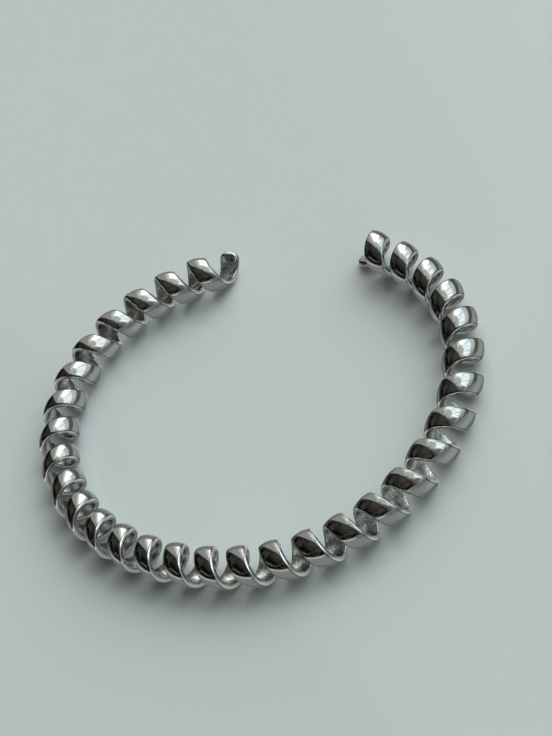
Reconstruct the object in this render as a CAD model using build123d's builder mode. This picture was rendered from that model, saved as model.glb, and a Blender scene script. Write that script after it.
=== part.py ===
from build123d import *
import os
from bisect import bisect_right
from math import asin, atan2, cos, hypot, pi, radians, sin, sqrt

# Spiral coil cuff bracelet: one metal band, wound like a spring, and the coil bent into an open oval.
# Lengths in millimetres, +Z up. The cuff lies flat, as on a table. The gap between its ends faces +Y.

# The oval that the coil's centreline follows, seen from above
oval_radius = 28.0        # mean distance of the centreline from the middle of the wrist opening
oval_widen = 0.100        # how much wider than deep the oval is, as a share of its mean radius
oval_egg = 0.0186         # how much the gap side is fuller than the front, same share
oval_bulge = 0.0056       # how much its -X end is fuller than its +X end, same share
oval_skew = 0.0293        # how much the hand-bent oval leans to one side, same share
cuff_gap = 21.0           # free length of the centreline between the two tips
gap_lean = 6.35           # how far the middle of the gap lies towards +X, along the centreline
end_lean = 0.80           # how far the tip on the +X side stands out of the oval
lean_length = 12.0        # length of the centreline that leans out to it

# The coil
coil_radius = 2.89        # from the centreline to the crown of the band
turn_length = 4.905       # from one turn to the next in the middle of the cuff
left_stretch = 0.061      # how much the turns have opened at the left tip, as a share
right_stretch = 0.051     # and at the right tip
band_start = 28.0         # where the band stands round the coil at the front, in degrees above outward

# The band's own section
band_width = 2.93         # across the band
band_thick = 1.00
band_crown = 0.32         # how far the middle of the domed outer face stands proud of its edges
band_roll = 9.6           # how far the band is twisted, in degrees: its edge towards the right tip stands out
outer_round = 0.25        # radius of the two outer edges
inner_round = 0.15        # radius of the two inner edges

# Its two domed ends
taper_length = 1.6        # the inner face starts to rise this far from the tip
taper_depth = 0.15
nose_round = 1.20         # radius of the end's two corners, seen from outside
nose_length = 0.35        # length of the dome that closes the end
nose_outer = 0.35         # how far the outer face bends in over the dome
nose_inner = 0.40         # how far the inner face bends out over the dome

stations_per_turn = 10    # sections that the coil is lofted through
end_stations = 9          # and over each taper, closer together towards the tip


def oval_point(angle):
    """Centreline seen from above, at an angle round the middle of the wrist opening."""
    share = 1 + oval_widen * cos(2 * angle) - oval_bulge * cos(3 * angle)
    share = share - oval_skew * sin(2 * angle) + oval_egg * sin(3 * angle)
    return oval_radius * share * cos(angle), oval_radius * share * sin(angle)


# Length along the oval at each tenth of a degree of one round, from 0 at the front (-Y)
front, fine = -pi / 2, radians(0.1)
walked = [0.0]
for step in range(3600):
    start, end = oval_point(front + step * fine), oval_point(front + (step + 1) * fine)
    walked.append(walked[-1] + hypot(end[0] - start[0], end[1] - start[1]))
perimeter = walked[-1]
left_run = (perimeter - cuff_gap) / 2 + gap_lean
right_run = (perimeter - cuff_gap) / 2 - gap_lean


def leaning_point(length):
    """Point of the centreline at a length from the middle of the front, with the right end leaning out."""
    round_trip = length % perimeter
    low = bisect_right(walked, round_trip) - 1
    share = (round_trip - walked[low]) / (walked[low + 1] - walked[low])
    angle = front + (low + share) * fine
    here, after = oval_point(angle), oval_point(angle + fine)
    run = hypot(after[0] - here[0], after[1] - here[1])
    lean = end_lean * max(1 - (right_run - length) / lean_length, 0) ** 2
    return here[0] + lean * (after[1] - here[1]) / run, here[1] - lean * (after[0] - here[0]) / run


def centreline(length):
    """Point and direction of the centreline at a length from the middle of the front."""
    before, after = leaning_point(length - 0.05), leaning_point(length + 0.05)
    run = hypot(after[0] - before[0], after[1] - before[1])
    x, y = leaning_point(length)
    return x, y, (after[0] - before[0]) / run, (after[1] - before[1]) / run


def turns_at(length):
    """Turns of the coil from the middle of the front, a little fewer to the mm towards the tips."""
    run, stretch = (right_run, right_stretch) if length > 0 else (left_run, left_stretch)
    return (length - stretch / 3 * length ** 3 / run ** 2) / turn_length


def outward(length):
    """Unit vector from the centreline to the middle of the band."""
    dir_x, dir_y = centreline(length)[2:]
    turn = radians(band_start) - 2 * pi * turns_at(length)
    return Vector(cos(turn) * dir_y, -cos(turn) * dir_x, sin(turn))


# The crown of the band touches the table, and the box round its crowns is centred on the origin
crowns_per_turn = 40
crowns = []
for step in range(int(crowns_per_turn * (left_run + right_run) / turn_length)):
    length = -left_run + step * turn_length / crowns_per_turn
    reach = outward(length) * coil_radius
    crowns.append((centreline(length)[0] + reach.X, centreline(length)[1] + reach.Y))
shift_x = -(min(c[0] for c in crowns) + max(c[0] for c in crowns)) / 2
shift_y = -(min(c[1] for c in crowns) + max(c[1] for c in crowns)) / 2


# The band climbs at this angle as it winds, and its sections stand square to it
band_turn = 2 * pi * (coil_radius - band_thick / 2)
band_per_mm = hypot(band_turn, turn_length) / turn_length
climb = atan2(turn_length, band_turn)

# The twist turns each section about its middle, and its crown still reaches the coil's radius
twist = radians(band_roll)
full_dome = (band_width ** 2 / 4 + band_crown ** 2) / (2 * band_crown)
crown_above_middle = full_dome - (full_dome - band_thick / 2) * cos(twist)


def section_plane(length):
    """Plane of the band's section at its middle, with its X across the band and its Y outwards."""
    x, y, dir_x, dir_y = centreline(length)
    along = Vector(dir_x, dir_y, 0)
    out = outward(length)
    around = along.cross(out)
    middle = Vector(x + shift_x, y + shift_y, coil_radius) + out * (coil_radius - crown_above_middle)
    across = along * cos(climb) - around * sin(climb)
    twisted = across * cos(twist) + out * sin(twist)
    return Plane(origin=middle, x_dir=twisted, z_dir=along * sin(climb) + around * cos(climb))


def nose_width(inset):
    """Half width of the band at a distance from its tip, where the corners are rounded."""
    back = nose_round - min(inset, nose_round)
    return band_width / 2 - nose_round + sqrt(nose_round ** 2 - back ** 2)


def nose_bend(inset):
    """Share of the full bend of both faces at a distance from the tip."""
    back = 1 - min(inset / nose_length, 1)
    return 1 - sqrt(1 - back ** 2)


insets = [taper_length / band_per_mm * (step / end_stations) ** 2 for step in range(end_stations + 1)]
left_end = [-left_run + inset for inset in insets]
right_end = [right_run - inset for inset in reversed(insets)]
plain_run = right_end[0] - left_end[-1]
plain_steps = round(plain_run / turn_length * stations_per_turn)
plain = [left_end[-1] + plain_run * step / plain_steps for step in range(1, plain_steps)]

with BuildPart() as coil_band:
    for length in left_end + plain + right_end:
        inset = min(length + left_run, right_run - length) * band_per_mm
        taper = max(1 - inset / taper_length, 0) ** 2
        half = nose_width(inset)
        top = band_thick / 2 - nose_outer * nose_bend(inset)
        bottom = -band_thick / 2 + taper_depth * taper + nose_inner * nose_bend(inset)
        thinner = (top - bottom) / band_thick
        outer = outer_round * thinner
        inner = inner_round * thinner
        crown = band_crown * thinner

        # the outer face is an arc of the radius dome, and each outer edge rolls smoothly off it
        dome = (half ** 2 + crown ** 2) / (2 * crown)
        lean = asin((half - outer) / (dome - outer))
        roll = (pi / 2 - lean) / 2
        edge_x, edge_y = dome * sin(lean), top - dome + dome * cos(lean)
        side_top = top - dome + (dome - outer) * cos(lean)
        roll_x, roll_y = half - outer + outer * cos(roll), side_top + outer * sin(roll)
        side_bottom = bottom + inner
        inner_x, inner_y = half - inner * (1 - sqrt(0.5)), bottom + inner * (1 - sqrt(0.5))
        with BuildSketch(section_plane(length)):
            with BuildLine():
                ThreePointArc((-edge_x, edge_y), (0, top), (edge_x, edge_y))
                ThreePointArc((edge_x, edge_y), (roll_x, roll_y), (half, side_top))
                Line((half, side_top), (half, side_bottom))
                ThreePointArc((half, side_bottom), (inner_x, inner_y), (half - inner, bottom))
                Line((half - inner, bottom), (-half + inner, bottom))
                ThreePointArc((-half + inner, bottom), (-inner_x, inner_y), (-half, side_bottom))
                Line((-half, side_bottom), (-half, side_top))
                ThreePointArc((-half, side_top), (-roll_x, roll_y), (-edge_x, edge_y))
            make_face()
    loft()

coil_band.part.label = "coil_band"
coil_band.part.color = Color(0.75, 0.76, 0.77)
os.makedirs("parts", exist_ok=True)
export_step(coil_band.part, "parts/coil_band.step")
print("turns", round(turns_at(right_run) - turns_at(-left_run), 2))
print("runs", round(left_run, 2), round(right_run, 2))
print("volume", round(coil_band.part.volume, 1))
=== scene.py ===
from bisect import bisect_right
from math import cos, hypot, pi, radians, sin
import bpy
from mathutils import Matrix, Vector


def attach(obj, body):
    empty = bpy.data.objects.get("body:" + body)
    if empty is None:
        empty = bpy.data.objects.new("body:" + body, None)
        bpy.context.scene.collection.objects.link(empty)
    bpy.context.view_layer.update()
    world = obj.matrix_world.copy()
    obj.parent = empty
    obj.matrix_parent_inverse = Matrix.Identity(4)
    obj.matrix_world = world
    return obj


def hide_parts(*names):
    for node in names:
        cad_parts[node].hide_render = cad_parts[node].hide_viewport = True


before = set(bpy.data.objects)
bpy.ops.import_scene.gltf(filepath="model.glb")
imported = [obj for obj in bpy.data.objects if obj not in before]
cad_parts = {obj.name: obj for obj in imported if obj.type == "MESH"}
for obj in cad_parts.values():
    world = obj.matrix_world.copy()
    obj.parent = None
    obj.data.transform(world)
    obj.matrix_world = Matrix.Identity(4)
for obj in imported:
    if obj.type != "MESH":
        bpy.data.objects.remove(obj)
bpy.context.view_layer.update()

MM = 0.001

# Spiral coil cuff bracelet: one metal band, domed outside and flat inside, wound like a spring, and the coil
# bent into an open oval. Lengths in mm. The cuff lies flat, and the gap between its ends faces +Y.

# The oval that the coil's centreline follows, seen from above
OVAL_RADIUS = 28.0      # mean distance from the middle of the wrist opening
OVAL_WIDEN = 0.100      # how much wider than deep it is, as a share of the mean radius
OVAL_EGG = 0.0186       # how much the gap side is fuller than the front, same share
OVAL_BULGE = 0.0056     # how much its -X end is fuller than its +X end, same share
OVAL_SKEW = 0.0293      # how much the hand-bent oval leans to one side, same share
CUFF_GAP = 21.0         # free length of the centreline between the two tips
GAP_LEAN = 6.35         # how far the middle of the gap lies towards +X, along the centreline
END_LEAN = 0.80         # how far the tip on the +X side stands out of the oval
LEAN_LENGTH = 12.0      # length of the centreline that leans out to it

# The coil
COIL_RADIUS = 2.89      # from the centreline to the crown of the band
TURN_LENGTH = 4.905     # from one turn to the next in the middle of the cuff
LEFT_STRETCH = 0.061    # how much the turns have opened at the left tip, as a share
RIGHT_STRETCH = 0.051   # and at the right tip
BAND_START = 28.0       # where the band stands round the coil at the front, in degrees above outward

# The band's own section
BAND_WIDTH = 2.93
BAND_THICK = 1.00
BAND_CROWN = 0.32       # how far the middle of the domed outer face stands proud of its edges
BAND_ROLL = 9.6         # how far the band is twisted, in degrees: its edge towards the right tip stands out
OUTER_ROUND = 0.25      # radius of the two outer edges
INNER_ROUND = 0.15      # radius of the two inner edges

# Its two domed ends
TAPER_LENGTH = 1.6      # the inner face starts to rise this far from the tip
TAPER_DEPTH = 0.15
NOSE_ROUND = 1.20       # radius of the end's two corners, seen from outside
NOSE_LENGTH = 0.35      # length of the dome that closes the end
NOSE_OUTER = 0.35       # how far the outer face bends in over the dome
NOSE_INNER = 0.40       # how far the inner face bends out over the dome

# How finely the band is drawn
RINGS = 1500            # rings of points along the band
POINTS_AROUND = 56      # points round each ring
POINTS_PER_EDGE = 12    # points of the section over each rounded edge
NOSE_SHARE = 0.016      # share of the rings that stands over each end's taper
GUIDE_POINTS = 1600     # points of the centreline
SPARE = 4.0             # the centreline runs on this far past both tips, to keep its direction there
TIP_POINT = 1e-6        # a ring nearer to the tip than this is drawn as one point
WELD = 0.002            # points closer than this become one
CROWNS_PER_TURN = 40    # places round the coil where its reach is measured


# Node helpers
class Wire:
    """One socket of a node tree, with arithmetic that adds the tree's Math nodes."""

    def __init__(self, bench, socket):
        self.bench, self.socket = bench, socket

    def maths(self, operation, *others):
        return self.bench.number(operation, self, *others)

    def __add__(self, other):
        return self.maths("ADD", other)

    __radd__ = __add__

    def __sub__(self, other):
        return self.maths("SUBTRACT", other)

    def __rsub__(self, other):
        return self.bench.number("SUBTRACT", other, self)

    def __mul__(self, other):
        return self.maths("MULTIPLY", other)

    __rmul__ = __mul__

    def __truediv__(self, other):
        return self.maths("DIVIDE", other)

    def __rtruediv__(self, other):
        return self.bench.number("DIVIDE", other, self)

    def __pow__(self, other):
        return self.maths("POWER", other)

    def __neg__(self):
        return self.maths("MULTIPLY", -1.0)

    def least(self, other):
        return self.maths("MINIMUM", other)

    def most(self, other):
        return self.maths("MAXIMUM", other)

    def root(self):
        return self.maths("SQRT")

    def size(self):
        return self.maths("ABSOLUTE")

    def above(self, other):
        return self.maths("GREATER_THAN", other)

    def ramp(self, low, high):
        """0 up to low, 1 from high, with a soft S between them."""
        return self.bench.node("ShaderNodeMapRange", {"interpolation_type": "SMOOTHSTEP"},
                               {"Value": self, "From Min": low, "From Max": high})


class Bench:
    """A node tree and the one way that nodes are put on it."""

    def __init__(self, tree):
        self.tree = tree

    def node(self, kind, settings=None, sockets=None, out=0):
        """Add a node: its settings first, then its sockets. A tuple of outputs comes back as a list."""
        made = self.tree.nodes.new(kind)
        for name, value in (settings or {}).items():
            setattr(made, name, value)
        for name, value in (sockets or {}).items():
            target = made.inputs[name]
            if isinstance(value, Wire):
                self.tree.links.new(value.socket, target)
            else:
                target.default_value = value
        if isinstance(out, tuple):
            return [Wire(self, made.outputs[name]) for name in out]
        return Wire(self, made.outputs[out]) if len(made.outputs) else None

    def number(self, operation, *values):
        return self.node("ShaderNodeMath", {"operation": operation}, dict(enumerate(values)))

    def vector(self, operation, *values):
        return self.node("ShaderNodeVectorMath", {"operation": operation}, dict(enumerate(values)))

    def scaled(self, vector, factor):
        return self.node("ShaderNodeVectorMath", {"operation": "SCALE"}, {0: vector, "Scale": factor})

    def split(self, vector):
        return self.node("ShaderNodeSeparateXYZ", sockets={0: vector}, out=("X", "Y", "Z"))

    def mix(self, factor, one, two):
        return self.node("ShaderNodeMix", {"data_type": "RGBA"}, {0: factor, 6: one, 7: two}, out=2)

    def noise(self, place, scale, detail, roughness=0.5, distortion=0.0):
        return self.node("ShaderNodeTexNoise", sockets={"Vector": place, "Scale": scale, "Detail": detail,
                                                        "Roughness": roughness, "Distortion": distortion})

    def stored(self, name):
        """A value that the winding has stored on the band's points."""
        return self.node("ShaderNodeAttribute", {"attribute_name": name}, out="Fac")


# The coil's centreline
def oval_point(angle):
    """Centreline seen from above, at an angle round the middle of the wrist opening."""
    share = 1 + OVAL_WIDEN * cos(2 * angle) - OVAL_BULGE * cos(3 * angle)
    share = share - OVAL_SKEW * sin(2 * angle) + OVAL_EGG * sin(3 * angle)
    return OVAL_RADIUS * share * cos(angle), OVAL_RADIUS * share * sin(angle)


# Length along the oval at each tenth of a degree of one round, from 0 at the front (-Y)
FRONT = -pi / 2
FINE = radians(0.1)
walked = [0.0]
for tenth in range(3600):
    start, end = oval_point(FRONT + tenth * FINE), oval_point(FRONT + (tenth + 1) * FINE)
    walked.append(walked[-1] + hypot(end[0] - start[0], end[1] - start[1]))
perimeter = walked[-1]
left_run = (perimeter - CUFF_GAP) / 2 + GAP_LEAN
right_run = (perimeter - CUFF_GAP) / 2 - GAP_LEAN


def leaning_point(length):
    """Point of the centreline at a length from the middle of the front, with the right end leaning out."""
    round_trip = length % perimeter
    low = bisect_right(walked, round_trip) - 1
    share = (round_trip - walked[low]) / (walked[low + 1] - walked[low])
    angle = FRONT + (low + share) * FINE
    here, after = oval_point(angle), oval_point(angle + FINE)
    run = hypot(after[0] - here[0], after[1] - here[1])
    lean = END_LEAN * max(1 - (right_run - length) / LEAN_LENGTH, 0) ** 2
    return here[0] + lean * (after[1] - here[1]) / run, here[1] - lean * (after[0] - here[0]) / run


def place_on_oval(length):
    """Point and direction of the centreline at a length from the middle of the front."""
    nudge = 0.05
    before, after = leaning_point(length - nudge), leaning_point(length + nudge)
    run = hypot(after[0] - before[0], after[1] - before[1])
    return leaning_point(length), ((after[0] - before[0]) / run, (after[1] - before[1]) / run)


def turns_at(length):
    """Turns of the coil from the middle of the front, a little fewer to the mm towards the tips."""
    run, stretch = (right_run, RIGHT_STRETCH) if length > 0 else (left_run, LEFT_STRETCH)
    return (length - stretch / 3 * length ** 3 / run ** 2) / TURN_LENGTH


# The box round the band's crowns is centred on the origin
crowns = []
for step in range(int(CROWNS_PER_TURN * (left_run + right_run) / TURN_LENGTH)):
    length = -left_run + step * TURN_LENGTH / CROWNS_PER_TURN
    (x, y), (dir_x, dir_y) = place_on_oval(length)
    reach = COIL_RADIUS * cos(radians(BAND_START) - 2 * pi * turns_at(length))
    crowns.append((x + reach * dir_y, y - reach * dir_x))
shift_x = -(min(crown[0] for crown in crowns) + max(crown[0] for crown in crowns)) / 2
shift_y = -(min(crown[1] for crown in crowns) + max(crown[1] for crown in crowns)) / 2


# The wound band, as geometry nodes
def centreline_curve():
    """The oval at the coil's middle height, as a plain open curve."""
    curve = bpy.data.curves.new("centreline", "CURVE")
    curve.dimensions = "3D"
    spline = curve.splines.new("POLY")
    spline.points.add(GUIDE_POINTS - 1)
    run = left_run + right_run + 2 * SPARE
    for k in range(GUIDE_POINTS):
        (x, y), _ = place_on_oval(-left_run - SPARE + run * k / (GUIDE_POINTS - 1))
        spline.points[k].co = ((x + shift_x) * MM, (y + shift_y) * MM, COIL_RADIUS * MM, 1.0)
    return bpy.data.objects.new("centreline", curve)


def wound_band_tree(finish):
    """A grid of rings along the band and points round its section, wound round the curve it is put on."""
    tree = bpy.data.node_groups.new("wound_band", "GeometryNodeTree")
    face = tree.interface
    face.new_socket("Centreline", in_out="INPUT", socket_type="NodeSocketGeometry")
    identifiers = {}
    for name, value in (("Left Run", left_run * MM), ("Right Run", right_run * MM), ("Spare", SPARE * MM),
                        ("Coil Radius", COIL_RADIUS * MM), ("Turn Length", TURN_LENGTH * MM),
                        ("Left Stretch", LEFT_STRETCH), ("Right Stretch", RIGHT_STRETCH),
                        ("Band Start", radians(BAND_START)), ("Band Width", BAND_WIDTH * MM),
                        ("Band Thickness", BAND_THICK * MM), ("Crown", BAND_CROWN * MM),
                        ("Band Roll", radians(BAND_ROLL)),
                        ("Outer Round", OUTER_ROUND * MM), ("Inner Round", INNER_ROUND * MM),
                        ("Taper Length", TAPER_LENGTH * MM), ("Taper Depth", TAPER_DEPTH * MM),
                        ("Nose Length", NOSE_LENGTH * MM), ("Nose Round", NOSE_ROUND * MM),
                        ("Nose Outer", NOSE_OUTER * MM), ("Nose Inner", NOSE_INNER * MM)):
        socket = face.new_socket(name, in_out="INPUT", socket_type="NodeSocketFloat")
        socket.default_value = value
        identifiers[name] = socket.identifier
    for name, value in (("Rings", RINGS), ("Around", POINTS_AROUND)):
        socket = face.new_socket(name, in_out="INPUT", socket_type="NodeSocketInt")
        socket.default_value = value
        identifiers[name] = socket.identifier
    face.new_socket("Band", in_out="OUTPUT", socket_type="NodeSocketGeometry")
    bench = Bench(tree)
    titles = ("Centreline", *identifiers)
    given = dict(zip(titles, bench.node("NodeGroupInput", out=titles)))
    left, right = given["Left Run"], given["Right Run"]
    width, thickness = given["Band Width"], given["Band Thickness"]
    half = width * 0.5

    # the flat grid: u along the band, v once round its section
    band = bench.node("GeometryNodeMeshGrid", sockets={"Size X": 1.0, "Size Y": 1.0,
                                                       "Vertices X": given["Rings"],
                                                       "Vertices Y": given["Around"] + 1})
    u, v, _ = bench.split(bench.node("GeometryNodeInputPosition"))
    u, v = u + 0.5, v + 0.5

    # rings stand closer together in both rounded noses
    circle = 2 * pi * (given["Coil Radius"] - thickness * 0.5)
    per_length = ((circle / given["Turn Length"]) ** 2.0 + 1.0).root()
    nose = given["Taper Length"] / per_length
    near_left = (u / NOSE_SHARE).least(1.0)
    near_right = ((1 - u) / NOSE_SHARE).least(1.0)
    plain = (u - NOSE_SHARE) / (1 - 2 * NOSE_SHARE)
    plain_run = left + right - 2 * nose
    along = (-left + nose + plain.most(0.0).least(1.0) * plain_run
             - nose * (near_left * (pi / 2)).maths("COSINE")
             + nose * (near_right * (pi / 2)).maths("COSINE"))
    inset = ((along + left).least(right - along)).most(0.0) * per_length

    # the section: a flat bar with rounded edges. Its outer face is domed below
    outline = bench.node("GeometryNodeCurvePrimitiveQuadrilateral",
                         sockets={"Width": width, "Height": thickness})
    is_outer = bench.split(bench.node("GeometryNodeInputPosition"))[1].above(0.0)
    rounding = given["Inner Round"] + is_outer * (given["Outer Round"] - given["Inner Round"])
    outline = bench.node("GeometryNodeFilletCurve", {"mode": "POLY"},
                         {"Curve": outline, "Radius": rounding, "Count": POINTS_PER_EDGE})
    section = bench.node("GeometryNodeSampleCurve", {"mode": "FACTOR", "use_all_curves": True},
                         {"Curves": outline, "Factor": v}, out="Position")
    section_x, section_y, _ = bench.split(section)

    # the domed end: rounded corners, both faces bent in, and the very last ring closed in one point
    corner_back = (given["Nose Round"] - inset).most(0.0)
    tongue = half - given["Nose Round"] + (given["Nose Round"] ** 2.0 - corner_back ** 2.0).most(0.0).root()
    face_back = 1 - (inset / given["Nose Length"]).least(1.0)
    bend = 1 - (1 - face_back ** 2.0).most(0.0).root()
    taper = 1 - (inset / given["Taper Length"]).least(1.0)
    top = -(given["Nose Outer"] * bend)
    bottom = given["Nose Inner"] * bend + given["Taper Depth"] * taper ** 2.0 - thickness
    thinner = (top - bottom) / thickness
    is_open = inset.above(TIP_POINT * MM)
    x = section_x * (tongue / half) * is_open
    y = (top + bottom) * 0.5 + section_y * thinner * is_open

    # the dome of the outer face falls away from the middle towards both edges
    across = section_x / half
    side_low = given["Inner Round"] - thickness * 0.5
    side_high = thickness * 0.5 - given["Outer Round"]
    outer_share = ((section_y - side_low) / (side_high - side_low)).most(0.0).least(1.0)
    fall = given["Crown"] * outer_share * across * across * thinner

    # where the section stands round the coil, whose turns open a little towards both tips
    centre, tangent = bench.node("GeometryNodeSampleCurve", {"mode": "LENGTH", "use_all_curves": True},
                                 {"Curves": given["Centreline"], "Length": along + left + given["Spare"]},
                                 out=("Position", "Tangent"))
    outward = bench.vector("NORMALIZE", bench.vector("CROSS_PRODUCT", tangent, (0.0, 0.0, 1.0)))
    is_right = along.above(0.0)
    run = left + is_right * (right - left)
    stretch = given["Left Stretch"] + is_right * (given["Right Stretch"] - given["Left Stretch"])
    turns = (along - stretch / 3.0 * along * along * along / (run * run)) / given["Turn Length"]
    turn = given["Band Start"] - turns * (2 * pi)

    # the section is twisted, and its crown still reaches the coil's radius
    roll_cos, roll_sin = given["Band Roll"].maths("COSINE"), given["Band Roll"].maths("SINE")
    high = y - fall + thickness * 0.5
    dome = (half * half + given["Crown"] * given["Crown"]) / (given["Crown"] * 2.0)
    crest = dome - (dome - thickness * 0.5) * roll_cos
    distance = given["Coil Radius"] + (x * roll_sin + high * roll_cos - crest)
    sideways = x * roll_cos - high * roll_sin

    # and it stands square to the climbing band
    upward = bench.node("ShaderNodeCombineXYZ", sockets={2: turn.maths("SINE")})
    face_out = bench.vector("ADD", bench.scaled(outward, turn.maths("COSINE")), upward)
    around = bench.vector("CROSS_PRODUCT", tangent, face_out)
    climb = bench.number("ARCTAN2", given["Turn Length"], circle)
    cross = bench.vector("SUBTRACT", bench.scaled(tangent, climb.maths("COSINE")),
                         bench.scaled(around, climb.maths("SINE")))
    offset = bench.vector("ADD", bench.scaled(face_out, distance), bench.scaled(cross, sideways))

    # what the finish reads is stored while the grid is still flat, because the winding moves every point
    for name, value in (("band_across", across), ("band_outer", section_y / (thickness * 0.5)),
                        ("band_inset", inset)):
        band = bench.node("GeometryNodeStoreNamedAttribute", {"data_type": "FLOAT", "domain": "POINT"},
                          {"Geometry": band, "Name": name, "Value": value})
    place = bench.vector("ADD", centre, offset)
    band = bench.node("GeometryNodeSetPosition", sockets={"Geometry": band, "Position": place})
    band = bench.node("GeometryNodeFlipFaces", sockets={"Mesh": band})
    band = bench.node("GeometryNodeMergeByDistance", sockets={"Geometry": band, "Distance": WELD * MM})
    band = bench.node("GeometryNodeSetShadeSmooth", sockets={"Geometry": band, "Shade Smooth": True})
    band = bench.node("GeometryNodeRealizeInstances", sockets={"Geometry": band})
    band = bench.node("GeometryNodeSetMaterial", sockets={"Geometry": band, "Material": finish})
    bench.node("NodeGroupOutput", sockets={"Band": band})
    return tree, identifiers


def plain_mesh(source, name):
    """The evaluated result of an object's geometry nodes, as a plain mesh object of its own."""
    bpy.context.view_layer.update()
    graph = bpy.context.evaluated_depsgraph_get()
    mesh = bpy.data.meshes.new_from_object(source.evaluated_get(graph))
    piece = bpy.data.objects.new(name, mesh)
    bpy.context.scene.collection.objects.link(piece)
    return piece


def wind_band(finish):
    """The whole band, wound round its centreline, as one plain mesh."""
    guide = centreline_curve()
    bpy.context.scene.collection.objects.link(guide)
    tree, identifiers = wound_band_tree(finish)
    winding = guide.modifiers.new("wound_band", "NODES")
    winding.node_group = tree
    winding[identifiers["Rings"]] = RINGS
    winding[identifiers["Around"]] = POINTS_AROUND
    piece = plain_mesh(guide, "wound_band")
    guide.modifiers.remove(winding)
    bpy.data.objects.remove(guide, do_unlink=True)
    return piece


# Finishes
def new_finish(name):
    """An empty material and the bench for its nodes."""
    material = bpy.data.materials.new(name)
    material.use_nodes = True
    material.node_tree.nodes.clear()
    return material, Bench(material.node_tree)


def polished_steel():
    """Mirror polished outside and on the domed ends, duller and grained on the flat inner face, with painted
    shade and a painted highlight along the outer edges.
    """
    polished = (0.492, 0.51, 0.494, 1.0)
    # painted shade: the dark line painted just inside each outer edge
    painted_shade_line = (0.20, 0.21, 0.20, 1.0)
    # painted highlight: the bright line painted on each outer edge's rounding
    painted_edge_highlight = (0.78, 0.80, 0.78, 1.0)
    worn_dark = (0.34, 0.355, 0.337, 1.0)
    worn_light = (0.76, 0.77, 0.74, 1.0)
    darker_rims = (0.55, 0.55, 0.55, 1.0)

    material, bench = new_finish("polished_steel")

    # across runs from 0 on the middle of the face to 1 on its sides, outer from -1 inside to 1 outside
    across = bench.stored("band_across").size()
    outer = bench.stored("band_outer")
    inset = bench.stored("band_inset")
    inside = (1 - outer.ramp(-0.97, -0.70)) * inset.ramp(0.6 * TAPER_LENGTH * MM, TAPER_LENGTH * MM)
    place = bench.node("ShaderNodeTexCoord", out="Object")
    grain = bench.noise(place, 3400.0, 3.0, roughness=0.6)
    mottle = bench.noise(place, 420.0, 4.0, roughness=0.62)
    cloud = bench.noise(place, 150.0, 3.0)
    roughness = (0.008 + 0.018 * cloud) + inside * (0.18 + 0.16 * mottle)

    # painted shade and painted highlight: a dark line is painted where the face rolls over into its edge,
    # and a bright line on the edge itself, in place of the dark and bright reflections there
    painted_shade_mask = across.ramp(0.78, 0.86) * (1 - across.ramp(0.87, 0.92)) * outer.ramp(0.2, 0.6)
    painted_highlight_mask = across.ramp(0.89, 0.95) * outer.ramp(0.1, 0.5)
    outside = bench.mix(painted_highlight_mask, bench.mix(painted_shade_mask, polished, painted_shade_line), painted_edge_highlight)
    worn = (0.25 * mottle + 0.75 * grain).ramp(0.38, 0.62)
    colour = bench.mix(inside, outside, bench.mix(worn, worn_dark, worn_light))
    bump = bench.node("ShaderNodeBump", sockets={"Strength": 0.5, "Distance": 0.00006,
                                                 "Height": inside * (0.2 * mottle + 0.6 * grain)})
    shader = bench.node("ShaderNodeBsdfPrincipled", sockets={"Base Color": colour, "Metallic": 1.0,
                                                             "Roughness": roughness, "Normal": bump,
                                                             "Specular Tint": darker_rims})
    bench.node("ShaderNodeOutputMaterial", sockets={"Surface": shader})
    return material


def pale_floor():
    """Plain, pale and glossy, so that it mirrors the cuff faintly."""
    material, bench = new_finish("pale_floor")
    shader = bench.node("ShaderNodeBsdfPrincipled", sockets={"Base Color": (0.62, 0.685, 0.68, 1.0),
                                                             "Roughness": 0.045, "IOR": 1.5})
    bench.node("ShaderNodeOutputMaterial", sockets={"Surface": shader})
    return material


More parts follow.
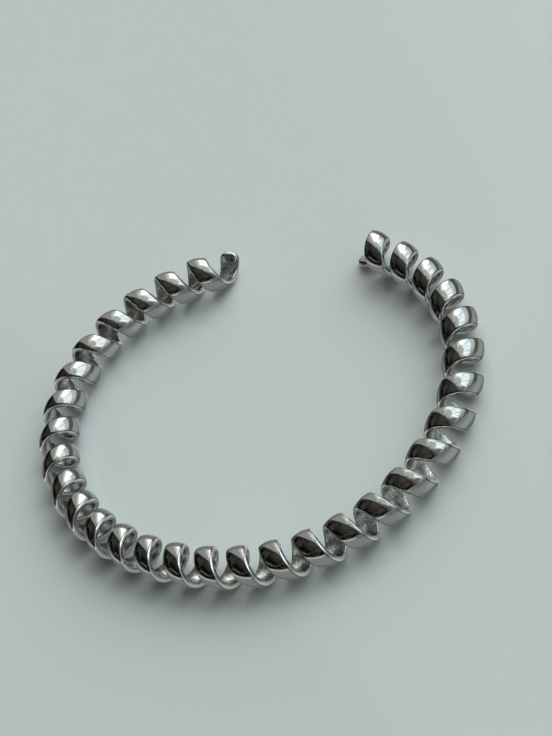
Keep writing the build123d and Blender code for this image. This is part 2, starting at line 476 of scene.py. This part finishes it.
# Light all round
def studio_light():
    """A dark room with one wide curtained window, a cream wall beside it and pale things low down."""
    world = bpy.data.worlds.new("studio")
    bpy.context.scene.world = world
    world.use_nodes = True
    world.node_tree.nodes.clear()
    bench = Bench(world.node_tree)
    toward = bench.node("ShaderNodeTexCoord", out="Generated")
    x, y, z = bench.split(toward)
    height = z.maths("ARCSINE") * (180 / pi)

    def card(shade, compass, heights, colour, lean=0.0, tilt=0.0):
        """Lay one soft-edged card over the light so far, with its compass and heights in degrees.

        compass: where its middle stands, half its width, and how softly its sides end
        heights: its foot and its top over the horizon, and how softly they end
        lean: how far its sides lean over with height
        tilt: how far its foot and top rise from one side to the other
        """
        middle, half, side_soft = compass
        foot, top, end_soft = heights
        turned = radians(middle)
        bearing = bench.number("ARCTAN2", y * cos(turned) - x * sin(turned),
                               x * cos(turned) + y * sin(turned)) * (180 / pi)
        unleaned_height = 30.0
        aside = bearing - (height - unleaned_height) * lean if lean else bearing
        raised = height - bearing * tilt if tilt else height
        sides = 1 - aside.size().ramp(half - side_soft / 2, half + side_soft / 2)
        over_foot = raised.ramp(foot - end_soft / 2, foot + end_soft / 2)
        over_top = raised.ramp(top - end_soft / 2, top + end_soft / 2)
        return bench.mix(sides * (over_foot * (1 - over_top)), shade, colour)

    # the curtain's folds hang straight down, so they change with the compass and hardly with height
    level = (x * x + y * y).root().most(0.001)
    fold_place = bench.node("ShaderNodeCombineXYZ", sockets={0: x / level, 1: y / level, 2: z * 0.12})
    folds = bench.noise(fold_place, 13.0, 4.0, roughness=0.65, distortion=0.5).ramp(0.38, 0.54)
    cool_curtain = bench.mix(folds, (0.80, 0.93, 1.01, 1), (1.90, 2.10, 2.20, 1))
    bright_curtain = bench.mix(folds, (1.60, 1.63, 1.54, 1), (2.50, 2.50, 2.38, 1))

    # the dark room is not one even black
    clutter = bench.noise(toward, 4.5, 3.0)
    light = bench.mix(clutter.ramp(0.43, 0.56), (0.0005, 0.0005, 0.0005, 1), (0.070, 0.069, 0.058, 1))
    light = bench.mix(height.ramp(44.0, 58.0), light, (0.040, 0.039, 0.035, 1))
    light = bench.mix(height.ramp(58.0, 74.0), light, (0.078, 0.076, 0.068, 1))
    light = card(light, (-152, 28, 16), (27, 48, 12), (0.006, 0.006, 0.005, 1))
    light = card(light, (-150, 14, 8), (17, 25, 4), (0.17, 0.168, 0.145, 1))
    light = card(light, (-154, 32, 14), (-3, 11, 5), (0.004, 0.004, 0.003, 1), tilt=0.22)
    light = card(light, (-84, 18, 14), (36, 60, 10), (0.100, 0.064, 0.054, 1))

    # the grey room beside and over the window, and the cream wall on its other side
    light = card(light, (-14, 36, 26), (6, 86, 14), (0.235, 0.245, 0.235, 1))
    light = card(light, (44, 78, 22), (50, 84, 16), (0.70, 0.74, 0.71, 1))
    light = card(light, (113, 16.4, 3), (-20, 68, 10), (0.475, 0.475, 0.435, 1))
    light = card(light, (0, 62, 26), (4, 22, 6), (0.35, 0.365, 0.355, 1))
    light = card(light, (20, 56, 26), (14, 28, 12), (0.62, 0.65, 0.64, 1))
    light = card(light, (42, 34, 30), (5, 34, 8), (0.86, 0.90, 0.86, 1))
    light = card(light, (98, 9, 14), (-20, 64, 10), (1.08, 1.07, 0.97, 1))

    # the window: curtain, one deep fold, and the bare bright part
    light = card(light, (22, 44, 10), (27, 62, 8), cool_curtain)
    light = card(light, (50, 6, 8), (27, 60, 8), (1.05, 1.18, 1.24, 1))
    light = card(light, (82, 14, 5), (7, 57, 10), bright_curtain, lean=-0.32)
    light = card(light, (91, 6, 4), (20, 53, 8), bright_curtain, lean=-0.10)

    # low pale things, and the dark foot of the wall under the window
    light = card(light, (-104, 38, 16), (-20, 12, 6), (0.26, 0.27, 0.265, 1), tilt=0.27)
    light = card(light, (-46, 32, 10), (-20, 21, 6), (0.26, 0.27, 0.265, 1))
    light = card(light, (-112, 34, 14), (-3, 3, 4), (0.70, 0.71, 0.67, 1), tilt=0.28)

    # what the metal mirrors below the horizon: the pale ground, with its light and dark parts
    ground = bench.mix(height.ramp(-74.0, -40.0), (0.29, 0.305, 0.30, 1), (0.365, 0.38, 0.378, 1))
    light = bench.mix(height.ramp(-1.5, 0.5), ground, light)
    light = card(light, (10, 60, 44), (-58, -18, 14), (0.49, 0.52, 0.52, 1))
    light = card(light, (96, 22, 16), (-62, -27, 12), (0.80, 0.84, 0.86, 1))
    light = card(light, (136, 16, 12), (-54, -16, 10), (0.29, 0.30, 0.30, 1))
    light = card(light, (142, 15, 4), (-12, 9, 5), (0.008, 0.008, 0.007, 1), tilt=0.45)
    light = card(light, (113, 16.4, 3), (-13, 4, 6), (0.53, 0.53, 0.49, 1))
    light = card(light, (-136, 52, 14), (-8, -2, 4), (0.86, 0.87, 0.82, 1), tilt=0.3)
    light = card(light, (172, 26, 8), (-3, 8, 4), (0.045, 0.046, 0.040, 1))
    light = card(light, (41, 40, 14), (-15, 6, 8), (0.15, 0.152, 0.14, 1), tilt=-0.05)
    shade = bench.node("ShaderNodeBackground", sockets={"Color": light, "Strength": 1.0})
    bench.node("ShaderNodeOutputWorld", sockets={"Surface": shade})


def window_fill():
    """A wide lamp from the window's side, which lifts the floor and is not mirrored in the metal."""
    lamp = bpy.data.lights.new("window_fill", "SUN")
    lamp.energy = 1.2
    lamp.angle = radians(44)
    lamp.color = (1.0, 0.99, 0.97)
    compass, height = radians(42), radians(38)
    toward_lamp = Vector((cos(compass) * cos(height), sin(compass) * cos(height), sin(height)))
    fill = bpy.data.objects.new("window_fill", lamp)
    fill.matrix_world = toward_lamp.to_track_quat("Z", "Y").to_matrix().to_4x4()
    fill.visible_glossy = False
    bpy.context.scene.collection.objects.link(fill)


def lay_floor():
    """One wide flat sheet. The metal mirrors the painted ground instead of it."""
    reach = 1.5
    corners = [(-reach, -reach, 0), (reach, -reach, 0), (reach, reach, 0), (-reach, reach, 0)]
    mesh = bpy.data.meshes.new("floor")
    mesh.from_pydata(corners, [], [(0, 1, 2, 3)])
    mesh.materials.append(pale_floor())
    floor = bpy.data.objects.new("floor", mesh)
    floor.visible_glossy = False
    bpy.context.scene.collection.objects.link(floor)


def place_camera():
    """The photo's own view, taken with the camera turned well over to one side."""
    azimuth, elevation, roll = radians(31.198), radians(48.931), radians(-38.035)
    distance = 241.592
    focal_pixels, photo_height = 1700.0, 736
    film_height = 36.0
    look = Vector((2.085 + shift_x, 6.83 + shift_y, 0.0))
    back = Vector((sin(azimuth) * cos(elevation), -cos(azimuth) * cos(elevation), sin(elevation)))
    right = back.cross(Vector((0, 0, 1))).normalized() * -1
    up = back.cross(right)
    turned_right = right * cos(roll) + up * sin(roll)
    turned_up = up * cos(roll) - right * sin(roll)
    where = (look + back * distance) * MM
    camera = bpy.data.objects.new("camera", bpy.data.cameras.new("camera"))
    camera.data.sensor_width = film_height
    camera.data.lens = focal_pixels / photo_height * film_height
    camera.data.clip_start = 0.01
    camera.data.clip_end = 20.0
    camera.matrix_world = Matrix((
        (turned_right.x, turned_up.x, back.x, where.x),
        (turned_right.y, turned_up.y, back.y, where.y),
        (turned_right.z, turned_up.z, back.z, where.z),
        (0, 0, 0, 1)))
    bpy.context.scene.collection.objects.link(camera)
    bpy.context.scene.camera = camera


bpy.context.scene.view_settings.view_transform = "Standard"
band = wind_band(polished_steel())
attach(band, "root")
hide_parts("coil_band")
lay_floor()
studio_light()
window_fill()
place_camera()
